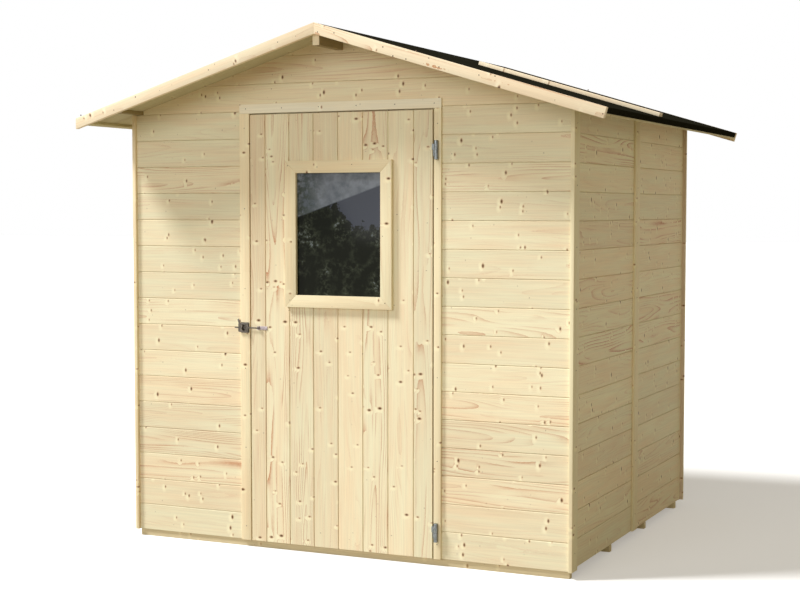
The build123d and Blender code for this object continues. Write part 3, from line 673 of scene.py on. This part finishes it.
def plated(name, dim, bright, metallic):
    """Zinc-plated steel: a patchwork of crystals, duller in places."""
    metal, tree, shader = new_material(name)
    where = add(tree, "ShaderNodeTexCoord").outputs["Object"]
    spangle = add(tree, "ShaderNodeTexVoronoi", {"Vector": where, "Scale": 1 / spangle_size})
    dull = add(tree, "ShaderNodeTexNoise", {"Vector": where, "Scale": 60.0, "Detail": 3.0}).outputs["Fac"]
    share = add(tree, "ShaderNodeSeparateColor", {"Color": spangle.outputs["Color"]}).outputs["Red"]
    plate = add(tree, "ShaderNodeMix", {0: share, 6: srgb(dim), 7: srgb(bright)},
                data_type="RGBA").outputs[2]
    tree.links.new(plate, shader.inputs["Base Color"])
    sheen = add(tree, "ShaderNodeMapRange", {"Value": dull, "To Min": 0.28, "To Max": 0.5}).outputs[0]
    tree.links.new(sheen, shader.inputs["Roughness"])
    shader.inputs["Metallic"].default_value = metallic
    return metal


# The hinges are bare and shine. The hasp has dulled to a brownish grey. Its plate and screws are painted a
# pale mauve: a painted reflection of light
hinge_zinc = plated("zinc_plated_steel_bright", "#646868", "#828686", 0.9)
hasp_zinc = plated("zinc_plated_steel_dulled", "#48443A", "#686058", 0.6)
plate_zinc_painted_reflection = plated("zinc_plated_steel_mauve", "#978B8E", "#B0A5A8", 0.4)
for node, body, slot, metal in (("hinge_frame_halves", "shed", "hinge_steel", hinge_zinc),
                                ("hinge_door_halves", "door", "hinge_steel", hinge_zinc),
                                ("hasp_staple", "shed", "hasp_steel", hasp_zinc),
                                ("hasp_plate", "door", "hasp_steel", plate_zinc_painted_reflection),
                                ("hasp_strap", "hasp", "hasp_steel", hasp_zinc)):
    fitting = rounded(node, node + "_pressed", metal, arris=0.4 * MM)
    fit(fitting, body, slot, node)


# Nails
# Small round nails hold the battens, the trim, the barge boards, and the door's ledges and window
# frame. Felt nails with broad heads run along the eaves, and two screws hold the hasp's plate.

# The radius of each kind of head
small_head, barge_head, clout_head, screw_head = 2.0 * MM, 3.2 * MM, 4.5 * MM, 2.6 * MM
head_height = 0.8 * MM


def nails_tree():
    """Geometry nodes that set a round head on every given place, square to its surface."""
    tree = bpy.data.node_groups.new("nail_heads", "GeometryNodeTree")
    for name, kind in (("Places", "Object"), ("Head Radius", "Float"), ("Head Height", "Float"),
                       ("Seed", "Int"), ("Steel", "Material")):
        tree.interface.new_socket(name, in_out="INPUT", socket_type="NodeSocket" + kind)
    tree.interface.new_socket("Nails", in_out="OUTPUT", socket_type="NodeSocketGeometry")
    given = add(tree, "NodeGroupInput").outputs
    places = add(tree, "GeometryNodeObjectInfo", {"Object": given["Places"]}).outputs["Geometry"]
    out = add(tree, "GeometryNodeInputNamedAttribute", {"Name": "outward"},
              data_type="FLOAT_VECTOR").outputs[0]
    turned = add(tree, "FunctionNodeAlignRotationToVector", {"Vector": out}, axis="Z").outputs[0]
    # No two heads are quite the same size, and each is narrower at its top
    size = add(tree, "FunctionNodeRandomValue", {2: 0.85, 3: 1.1, "Seed": given["Seed"]}).outputs[1]
    head = add(tree, "GeometryNodeMeshCone",
               {"Vertices": 10, "Radius Bottom": given["Head Radius"], "Depth": given["Head Height"]})
    narrow = add(tree, "ShaderNodeMath", {0: given["Head Radius"], 1: 0.7}, operation="MULTIPLY").outputs[0]
    tree.links.new(narrow, head.inputs["Radius Top"])
    set_in = add(tree, "GeometryNodeInstanceOnPoints",
                 {"Points": places, "Instance": head.outputs["Mesh"], "Rotation": turned,
                  "Scale": size}).outputs["Instances"]
    real = add(tree, "GeometryNodeRealizeInstances", {"Geometry": set_in}).outputs["Geometry"]
    done = add(tree, "GeometryNodeSetMaterial", {"Geometry": real, "Material": given["Steel"]}).outputs[0]
    add(tree, "NodeGroupOutput", {"Nails": done})
    return tree


def nailed(name, rows, radius, body, slot, material):
    """Nails in rows. Each row is its first place, its last place, how many, and the way their heads face."""
    spots, ways = [], []
    for first, last, count, out in rows:
        for i in range(count):
            spots.append(Vector(first).lerp(Vector(last), i / max(count - 1, 1)))
            ways.append(Vector(out).normalized())
    mesh = bpy.data.meshes.new("places")
    mesh.from_pydata(spots, [], [])
    outward = mesh.attributes.new("outward", "FLOAT_VECTOR", "POINT")
    outward.data.foreach_set("vector", [c for way in ways for c in way])
    places = placed("places", mesh)
    heads = run_tree(nail_heads, name, Places=places, Head_Radius=radius, Head_Height=head_height,
                     Seed=7, Steel=material)
    bpy.data.objects.remove(places)
    smooth(heads.data)
    fit(heads, body, slot)


nail_heads = nails_tree()
# Plain steel that has gone brown, so each head is a dark dot on the pale wood
brown_steel, tree, shader = new_material("steel_nail_browned")
where = add(tree, "ShaderNodeTexCoord").outputs["Object"]
rust = add(tree, "ShaderNodeTexNoise", {"Vector": where, "Scale": 300.0, "Detail": 2.0}).outputs["Fac"]
brown = add(tree, "ShaderNodeMix", {0: rust, 6: srgb("#3A2E22"), 7: srgb("#6B4E34")},
            data_type="RGBA").outputs[2]
tree.links.new(brown, shader.inputs["Base Color"])
shader.inputs["Roughness"].default_value = 0.7

# Columns of nails on the battens of the sides and the rear
lowest_nail, highest_nail, highest_rear_nail = 0.10, 1.75, 2.0
corner_inset = 33 * MM        # from the front edge of a corner batten
rear_corner_x = 0.975
corner_low, corner_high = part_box("front_corner_battens")
joint_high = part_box("joint_battens")[1]
rows = []
for side in (-1, 1):
    outward = (side, 0, 0)
    for x, y, out in ((side * corner_high.x, corner_low.y + corner_inset, outward),
                      (side * joint_high.x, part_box("left_wall_front")[1].y, outward),
                      (side * rear_corner_x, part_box("rear_corner_battens")[1].y, rear)):
        rows.append(((x, y, lowest_nail), (x, y, highest_nail), 8, out))
rows.append(((0, joint_high.y, lowest_nail), (0, joint_high.y, highest_rear_nail), 9, rear))

# The trim's nails run along the middle of each strip
side_trim_inset, head_trim_inset = 60 * MM, 30 * MM
for node in ("door_trim_left", "door_trim_right"):
    low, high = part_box(node)
    x = (low.x + high.x) / 2
    rows.append(((x, low.y, low.z + side_trim_inset), (x, low.y, high.z - side_trim_inset), 6, front))
low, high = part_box("door_trim_head")
z = (low.z + high.z) / 2
rows.append(((low.x + head_trim_inset, low.y, z), (high.x - head_trim_inset, low.y, z), 6, front))
nailed("batten_nails", rows, small_head, "shed", "hinge_steel", brown_steel)

# Where the nails of the barge boards are, across and up, at the front. The rear ones are nailed alike
barge_nails = ((-1.110, 1.819), (-0.942, 1.836), (-0.834, 1.887), (-0.48, 1.985), (-0.16, 2.082),
               (0.018, 2.113), (0.090, 2.106), (0.300, 2.043), (0.342, 2.007), (0.397, 1.993),
               (0.439, 2.022), (0.492, 1.993), (0.534, 1.958), (0.696, 1.922), (0.760, 1.916),
               (1.176, 1.766))
sunk = 0.5 * MM               # heads on a gable's outermost face are driven in this far
rows = []
for x, z in barge_nails:
    for y, out in ((cad_box[0][1] + sunk, front), (cad_box[1][1] - sunk, rear)):
        rows.append(((x, y, z), (x, y, z), 1, out))

# Each cover strip has five, between these distances from its top
first_strip_nail, last_strip_nail = 0.03, 0.75
strip_low, strip_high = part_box("cover_strip_left")
for side, (down, under) in slopes.items():
    top = max((v.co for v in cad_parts["cover_strip_" + side].data.vertices), key=lambda v: v.z)
    top = Vector((top.x, (strip_low.y + strip_high.y) / 2, top.z))
    rows.append((top + down * first_strip_nail, top + down * last_strip_nail, 5,
                 (-under.x, 0, -under.z)))
nailed("barge_nails", rows, barge_head, "shed", "hinge_steel", brown_steel)

# Clout nails, dabbed with bitumen, hold the felt's turned-down edge
left_drip, right_drip = 1.789, 1.777   # how high they are
clout_inset = 40 * MM
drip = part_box("roof_felt_front")
clout_start, clout_end = drip[0].y + clout_inset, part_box("roof_felt_rear")[1].y - clout_inset
rows = [((x, clout_start, z), (x, clout_end, z), 18, out)
        for x, z, out in ((drip[0].x, left_drip, left), (drip[1].x, right_drip, right))]
nailed("felt_nails", rows, clout_head, "shed", "hinge_steel", felt)

# On the door: where the window frame is nailed, across and up, and two nails a board through the ledges
frame_nails = ((-0.228, 1.602), (-0.092, 1.595), (0.066, 1.603), (0.202, 1.316), (0.213, 1.047),
               (-0.22, 1.05))
ledge_middles = (0.195, 0.95, 1.705)
nail_from_middle = 25 * MM
# Each row starts at the first joint and ends in the last board
first_ledge_nail, last_ledge_nail = leaf_start + board_pitch, leaf_start + 7.4 * board_pitch
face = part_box("window_frame")[0].y
rows = [((x, face, z), (x, face, z), 1, front) for x, z in frame_nails]
ledge_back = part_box("door_ledges")[1].y
for middle in ledge_middles:
    for z in (middle - nail_from_middle, middle + nail_from_middle):
        rows.append(((first_ledge_nail, ledge_back, z), (last_ledge_nail, ledge_back, z), 8, rear))
nailed("door_nails", rows, small_head, "door", "hinge_steel", brown_steel)

# Two screws hold the hasp's plate
plate_right, plate_face, plate_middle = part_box("hasp_plate")[1].x, -34 * MM, 928.5 * MM
left_screw, right_screw = plate_right - 18 * MM, plate_right - 6 * MM
rows = [((left_screw, plate_face, plate_middle), (right_screw, plate_face, plate_middle), 2, front)]
nailed("hasp_screws", rows, screw_head, "door", "hasp_steel", plate_zinc_painted_reflection)


# Floor, light and camera
# A pale studio floor that keeps the shed's shadow, a soft sky, a sun from the upper left and two wide
# fills, from the front and from the right. The camera stands where the photograph was taken from.

def seen_directly(tree):
    """1 for rays that show the white studio: the camera's own, and those off metal or through glass."""
    path = add(tree, "ShaderNodeLightPath").outputs
    off_metal = add(tree, "ShaderNodeMath", {0: path["Is Camera Ray"], 1: path["Is Glossy Ray"]},
                    operation="MAXIMUM").outputs[0]
    return add(tree, "ShaderNodeMath", {0: off_metal, 1: path["Is Transmission Ray"]},
               operation="MAXIMUM").outputs[0]


floor_reach = 60              # metres from the shed, each way
floor_mesh = bpy.data.meshes.new("studio_floor")
floor_mesh.from_pydata([(x * floor_reach, y * floor_reach, 0)
                        for x, y in ((-1, -1), (1, -1), (1, 1), (-1, 1))], [], [(0, 1, 2, 3)])
studio_floor = placed("studio_floor", floor_mesh)

# The camera sees white paper. The light that it throws back on the shed is lower and warmer, and some
# of it comes up from the shadow too
paper, tree, shader = new_material("studio_paper")
tree.nodes.remove(shader)
seen = seen_directly(tree)
dull_paper = add(tree, "ShaderNodeBsdfDiffuse", {"Color": srgb("#797163")}).outputs[0]
lift = add(tree, "ShaderNodeEmission", {"Color": srgb("#FFEFBC"), "Strength": 0.1}).outputs[0]
lifted = add(tree, "ShaderNodeAddShader", {0: dull_paper, 1: lift}).outputs[0]
white_paper = add(tree, "ShaderNodeBsdfDiffuse", {"Color": srgb("#E7E7E7")}).outputs[0]
glow = add(tree, "ShaderNodeEmission", {"Color": srgb("#FFFFFF"), "Strength": 0.3}).outputs[0]
bright = add(tree, "ShaderNodeAddShader", {0: white_paper, 1: glow}).outputs[0]
mixed = add(tree, "ShaderNodeMixShader", {0: seen, 1: lifted, 2: bright}).outputs[0]
tree.links.new(mixed, tree.nodes["Material Output"].inputs["Surface"])
floor_mesh.materials.append(paper)

world = bpy.data.worlds.new("soft_sky")
bpy.context.scene.world = world
world.use_nodes = True
tree = world.node_tree
seen = seen_directly(tree)
level = add(tree, "ShaderNodeMapRange", {"Value": seen, "To Min": 0.305, "To Max": 1.0}).outputs[0]
tree.links.new(level, tree.nodes["Background"].inputs["Strength"])
sky_tint = add(tree, "ShaderNodeMix", {0: seen, 6: srgb("#F9EBCE"), 7: srgb("#FFFFFF")},
               data_type="RGBA").outputs[2]
tree.links.new(sky_tint, tree.nodes["Background"].inputs["Color"])

# Each lamp: the way its light travels, its strength, its width in degrees and its colour
lamps = {"sun": ((0.57, 0.30, -0.765), 4.0, 13.0, "#FFFFFF"),
         "front_fill": ((0.15, 0.95, -0.15), 1.2, 40.0, "#FFFFFF"),
         "side_fill": ((-0.95, 0.1, 0.1), 0.36, 60.0, "#FFEFA0")}
for name, (travel, strength, width, colour) in lamps.items():
    lamp = bpy.data.lights.new(name, "SUN")
    lamp.energy = strength
    lamp.color = srgb(colour)[:3]
    lamp.angle = math.radians(width)
    holder = placed(name, lamp)
    holder.rotation_mode = "QUATERNION"
    holder.rotation_quaternion = Vector(travel).to_track_quat("-Z", "Y")

camera_place = (2.859, -5.622, 1.422)
camera_turn, camera_tilt = math.radians(24.83), math.radians(3.35)
camera_data = bpy.data.cameras.new("photo_camera")
camera_data.lens = 69.5
camera_data.sensor_width = 36.0
camera = placed("photo_camera", camera_data)
camera.location = camera_place
ahead = Vector((-math.sin(camera_turn) * math.cos(camera_tilt),
                math.cos(camera_turn) * math.cos(camera_tilt), -math.sin(camera_tilt)))
camera.rotation_mode = "QUATERNION"
camera.rotation_quaternion = ahead.to_track_quat("-Z", "Y")
bpy.context.scene.camera = camera
bpy.context.scene.view_settings.view_transform = "Standard"
